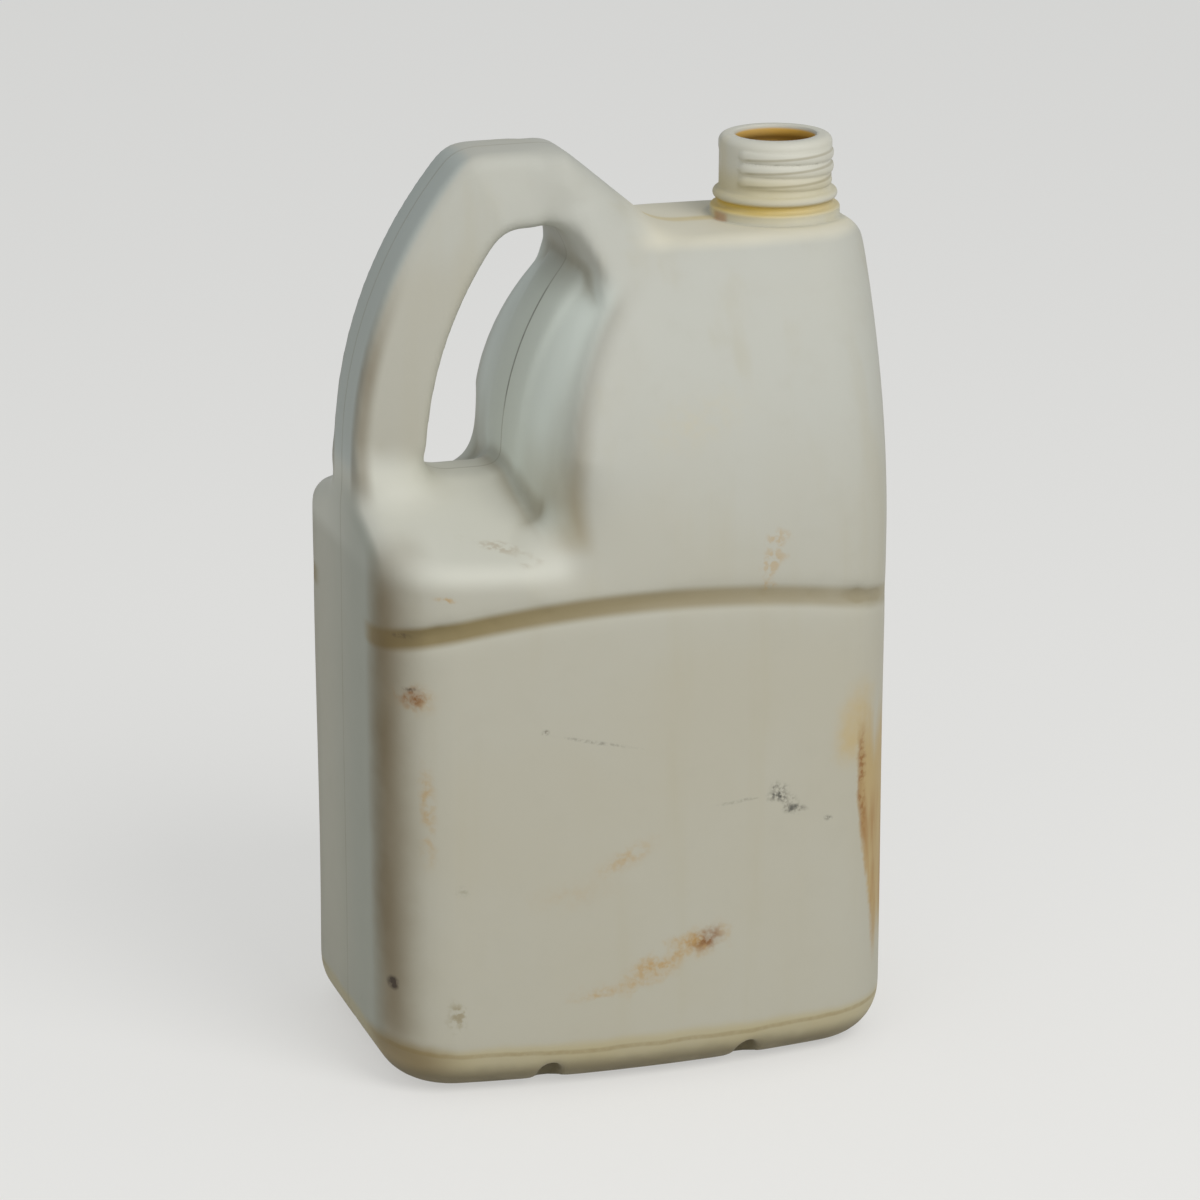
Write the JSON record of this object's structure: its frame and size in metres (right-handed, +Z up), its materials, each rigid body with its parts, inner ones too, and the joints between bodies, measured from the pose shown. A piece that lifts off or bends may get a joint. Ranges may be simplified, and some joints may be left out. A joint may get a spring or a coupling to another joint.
{
  "type": "jug",
  "caption": "Blow-moulded plastic gallon jug with bowed sides, an arched groove, a hollow through handle with finger pockets and an open screw neck.",
  "frame": {"origin": "on the standing surface, under the middle of the bounding box", "axes": "+Z up, +X from the handle towards the neck, +Y across the parting plane, away from the side that the picture shows"},
  "size_m": [0.17, 0.126, 0.294],
  "materials": {
    "aged_plastic": "satin, aged"
  },
  "bodies": {
    "root": {"jug": "aged_plastic"}
  },
  "joints": []
}
